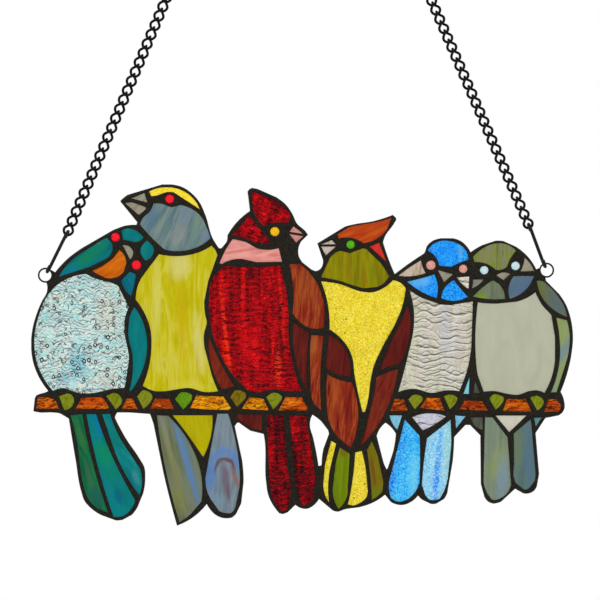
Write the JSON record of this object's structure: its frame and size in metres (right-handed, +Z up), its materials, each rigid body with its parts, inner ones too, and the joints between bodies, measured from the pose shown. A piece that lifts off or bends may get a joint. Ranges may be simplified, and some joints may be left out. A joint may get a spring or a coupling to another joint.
{
  "type": "stained glass window panel",
  "caption": "Flat stained glass panel of small birds side by side on a branch, in dark leading, hung from its shoulders by two chains with wire hooks.",
  "frame": {"origin": "midway between the eyes of the two top hooks, on the panel's middle plane", "axes": "+X to the right along the panel's width as seen from the front, +Z up, the front faces -Y"},
  "size_m": [0.5204, 0.0154, 0.5624],
  "materials": {
    "leading": "dark patina on soldered lead, semi-gloss",
    "hanger_metal": "black coated wire, semi-gloss",
    "teal_glass": "streaky teal sheet glass with green wisps",
    "green_glass": "streaky dark green sheet glass",
    "orange_glass": "streaky amber orange sheet glass",
    "clear_blue_glass": "clear rippled glass with seeds and pale blue streaks",
    "slate_glass": "streaky slate blue and grey opalescent glass",
    "yellow_glass": "streaky yellow and olive opalescent glass",
    "amber_glass": "granite-textured bright yellow glass",
    "red_glass": "mottled hammered ruby red glass",
    "pink_glass": "pale salmon pink sheet glass",
    "brown_glass": "streaky red brown and orange glass",
    "olive_glass": "streaky olive green glass",
    "blue_glass": "granular bright sky blue glass",
    "pearl_glass": "white opalescent glass with dark wavy lines",
    "moss_glass": "streaky grey green glass",
    "stone_glass": "pale grey beige rippled glass"
  },
  "bodies": {
    "root": {"leading": "leading", "teal_bird_back": "teal_glass", "teal_bird_cheek": "orange_glass", "teal_bird_belly": "clear_blue_glass", "teal_bird_wing": "teal_glass", "teal_bird_tail_left": "green_glass", "teal_bird_tail_middle": "teal_glass", "teal_bird_tail_right": "teal_glass", "yellow_bird_head": "slate_glass", "yellow_bird_body": "yellow_glass", "yellow_bird_tail_left": "slate_glass", "yellow_bird_tail_middle": "yellow_glass", "yellow_bird_tail_right": "slate_glass", "red_bird_crest": "red_glass", "red_bird_cheek": "red_glass", "red_bird_collar": "pink_glass", "red_bird_belly": "red_glass", "red_bird_wing_left": "brown_glass", "red_bird_wing_upper": "brown_glass", "red_bird_wing_inner": "brown_glass", "red_bird_wing_middle": "brown_glass", "red_bird_coverts": "brown_glass", "red_bird_tail_left": "red_glass", "red_bird_tail_right": "red_glass", "crested_bird_crest": "brown_glass", "crested_bird_cheek": "olive_glass", "crested_bird_breast": "amber_glass", "crested_bird_wing_left_upper": "brown_glass", "crested_bird_wing_left_lower": "brown_glass", "crested_bird_wing_right_upper": "brown_glass", "crested_bird_wing_right_lower": "brown_glass", "crested_bird_tail_1": "amber_glass", "crested_bird_tail_2": "olive_glass", "crested_bird_tail_3": "amber_glass", "crested_bird_tail_4": "olive_glass", "blue_bird_crown": "blue_glass", "blue_bird_cheek_left": "blue_glass", "blue_bird_cheek_right": "blue_glass", "blue_bird_belly": "pearl_glass", "blue_bird_tail_left": "blue_glass", "blue_bird_covert_middle": "pearl_glass", "blue_bird_tail_right": "blue_glass", "olive_bird_crown": "moss_glass", "olive_bird_cheek_left": "moss_glass", "olive_bird_cheek_right": "slate_glass", "olive_bird_belly": "stone_glass", "olive_bird_wing_upper": "moss_glass", "olive_bird_wing_lower": "moss_glass", "olive_bird_tail_left": "moss_glass", "olive_bird_covert_middle": "stone_glass", "olive_bird_tail_right": "slate_glass", "stay_wire": "leading", "left_ring": "leading", "right_ring": "leading", "left_ring_hook": "hanger_metal", "left_chain": "hanger_metal", "left_top_hook": "hanger_metal", "right_ring_hook": "hanger_metal", "right_chain": "hanger_metal", "right_top_hook": "hanger_metal"}
  },
  "joints": []
}
